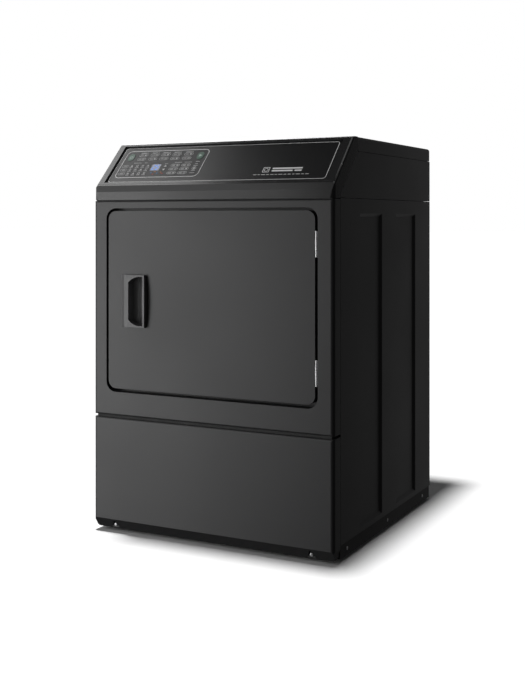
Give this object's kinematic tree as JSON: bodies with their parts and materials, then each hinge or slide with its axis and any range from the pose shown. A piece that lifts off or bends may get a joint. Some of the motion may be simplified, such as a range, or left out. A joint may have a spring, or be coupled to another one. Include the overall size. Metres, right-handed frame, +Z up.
{
  "type": "clothes dryer",
  "caption": "Front-loading tumble dryer with sloping control panel, swing door, belt-driven drum, heater, blower, lint filter and levelling legs.",
  "frame": {"origin": "centre of the bounding box at floor level, under the levelling feet", "axes": "+Z up, -Y towards the user at the front (the face with the door), +X to the user's right when facing the door"},
  "size_m": [0.683, 0.736, 1.017],
  "materials": {
    "charcoal_enamel": "satin",
    "base_enamel": "matte",
    "galvanised_steel": "satin",
    "drum_steel": "satin",
    "bright_steel": "polished",
    "black_panel": "satin",
    "film_print": "satin",
    "display_lens": "gloss",
    "circuit_board": "matte",
    "black_plastic": "satin",
    "light_plastic": "satin",
    "grip_plastic": "satin",
    "liner_enamel": "gloss",
    "key_green": "satin",
    "felt": "matte",
    "seal_rubber": "matte",
    "motor_enamel": "satin",
    "element_wire": "matte",
    "wire_sleeve": "matte",
    "lens": "gloss"
  },
  "bodies": {
    "cabinet": {"base_pan": "base_enamel", "side_panel_left": "charcoal_enamel", "side_panel_right": "charcoal_enamel", "rear_panel": "galvanised_steel", "front_panel": "charcoal_enamel", "access_panel": "charcoal_enamel", "console_frame": "charcoal_enamel", "console_panel": "black_panel", "keypad_film": "film_print", "display_window": "display_lens", "control_board": "circuit_board", "hood_shell": "charcoal_enamel", "top_lid": "charcoal_enamel", "front_bulkhead": "galvanised_steel", "rear_bulkhead": "galvanised_steel", "felt_seals": "felt", "drum_glides": "light_plastic", "roller_shafts": "bright_steel", "heater_box": "galvanised_steel", "heater_coil": "element_wire", "thermostats": "black_plastic", "lint_duct": "galvanised_steel", "blower_housing": "galvanised_steel", "exhaust_duct": "galvanised_steel", "motor_body": "motor_enamel", "motor_bracket": "base_enamel", "drive_belt": "seal_rubber", "idler_spring": "bright_steel", "hinge_leaves": "bright_steel", "hinge_pins": "bright_steel", "door_latch": "black_plastic", "door_switch": "black_plastic", "drum_lamp": "lens", "terminal_block": "black_plastic", "terminal_cover": "galvanised_steel", "wire_harness": "wire_sleeve", "cabinet_screws": "bright_steel"},
    "drum": {"drum_shell": "drum_steel", "drum_baffles": "light_plastic"},
    "motor_rotor": {"motor_shaft": "bright_steel", "motor_pulley": "bright_steel", "blower_wheel": "black_plastic"},
    "idler_arm": {"idler_arm": "galvanised_steel"},
    "idler_pulley": {"idler_pulley": "black_plastic"},
    "rear_roller_left": {"rear_roller_left": "seal_rubber"},
    "rear_roller_right": {"rear_roller_right": "seal_rubber"},
    "door": {"door_shell": "charcoal_enamel", "door_liner": "liner_enamel", "door_seal": "seal_rubber", "door_handle": "grip_plastic", "door_strike": "bright_steel", "door_hinge_leaves": "bright_steel"},
    "lint_filter": {"lint_filter": "light_plastic"},
    "switch_plunger": {"switch_plunger": "light_plastic"},
    "leg_front_left": {"leg_front_left": "seal_rubber"},
    "leg_front_right": {"leg_front_right": "seal_rubber"},
    "leg_rear_left": {"leg_rear_left": "seal_rubber"},
    "leg_rear_right": {"leg_rear_right": "seal_rubber"},
    "power_key": {"power_key": "key_green"},
    "start_key": {"start_key": "key_green"}
  },
  "joints": [
    {"name": "door_hinge", "type": "hinge", "parent": "cabinet", "child": "door", "pos_m": [0.297, -0.354, 0.6], "axis": [0, 0, 1], "range_deg": [0, 170]},
    {"name": "drum_spin", "type": "hinge", "parent": "cabinet", "child": "drum", "pos_m": [0, 0.014, 0.588], "axis": [0, 1, 0], "continuous": true},
    {"name": "rotor_spin", "type": "hinge", "parent": "cabinet", "child": "motor_rotor", "pos_m": [0.06, -0.099, 0.15], "axis": [0, 1, 0], "continuous": true},
    {"name": "roller_left_spin", "type": "hinge", "parent": "cabinet", "child": "rear_roller_left", "pos_m": [-0.23446, 0.255, 0.3276], "axis": [0, 1, 0], "continuous": true},
    {"name": "roller_right_spin", "type": "hinge", "parent": "cabinet", "child": "rear_roller_right", "pos_m": [0.23446, 0.255, 0.3276], "axis": [0, 1, 0], "continuous": true},
    {"name": "idler_arm_pivot", "type": "hinge", "parent": "cabinet", "child": "idler_arm", "pos_m": [-0.052, 0.014, 0.08], "axis": [0, -1, 0], "range_deg": [0, 12], "stiffness_Nm_per_rad": 0.8, "springref_deg": -28.65, "deforming": ["idler_spring"]},
    {"name": "idler_pulley_spin", "type": "hinge", "parent": "idler_arm", "child": "idler_pulley", "pos_m": [-0.032, 0.001, 0.194], "axis": [0, 1, 0], "continuous": true},
    {"name": "lint_filter_slide", "type": "slide", "parent": "cabinet", "child": "lint_filter", "axis": [0, 0, 1], "range_m": [0, 0.18]},
    {"name": "door_switch_press", "type": "slide", "parent": "cabinet", "child": "switch_plunger", "axis": [0, 1, 0], "range_m": [0, 0.003], "stiffness_N_per_m": 200, "springref_m": -0.003},
    {"name": "power_key_press", "type": "slide", "parent": "cabinet", "child": "power_key", "axis": [0, 0.7071, -0.7071], "range_m": [0, 0.0008], "stiffness_N_per_m": 800, "springref_m": -0.0006},
    {"name": "start_key_press", "type": "slide", "parent": "cabinet", "child": "start_key", "axis": [0, 0.7071, -0.7071], "range_m": [0, 0.0008], "stiffness_N_per_m": 800, "springref_m": -0.0006},
    {"name": "leg_front_left_adjust", "type": "slide", "parent": "cabinet", "child": "leg_front_left", "axis": [0, 0, -1], "range_m": [0, 0.02]},
    {"name": "leg_front_right_adjust", "type": "slide", "parent": "cabinet", "child": "leg_front_right", "axis": [0, 0, -1], "range_m": [0, 0.02]},
    {"name": "leg_rear_left_adjust", "type": "slide", "parent": "cabinet", "child": "leg_rear_left", "axis": [0, 0, -1], "range_m": [0, 0.02]},
    {"name": "leg_rear_right_adjust", "type": "slide", "parent": "cabinet", "child": "leg_rear_right", "axis": [0, 0, -1], "range_m": [0, 0.02]}
  ],
  "couplings": [
    {"joint": "rotor_spin", "follows": "drum_spin", "ratio": 32},
    {"joint": "idler_pulley_spin", "follows": "drum_spin", "ratio": -12.075},
    {"joint": "roller_left_spin", "follows": "drum_spin", "ratio": -9.9375},
    {"joint": "roller_right_spin", "follows": "drum_spin", "ratio": -9.9375}
  ]
}
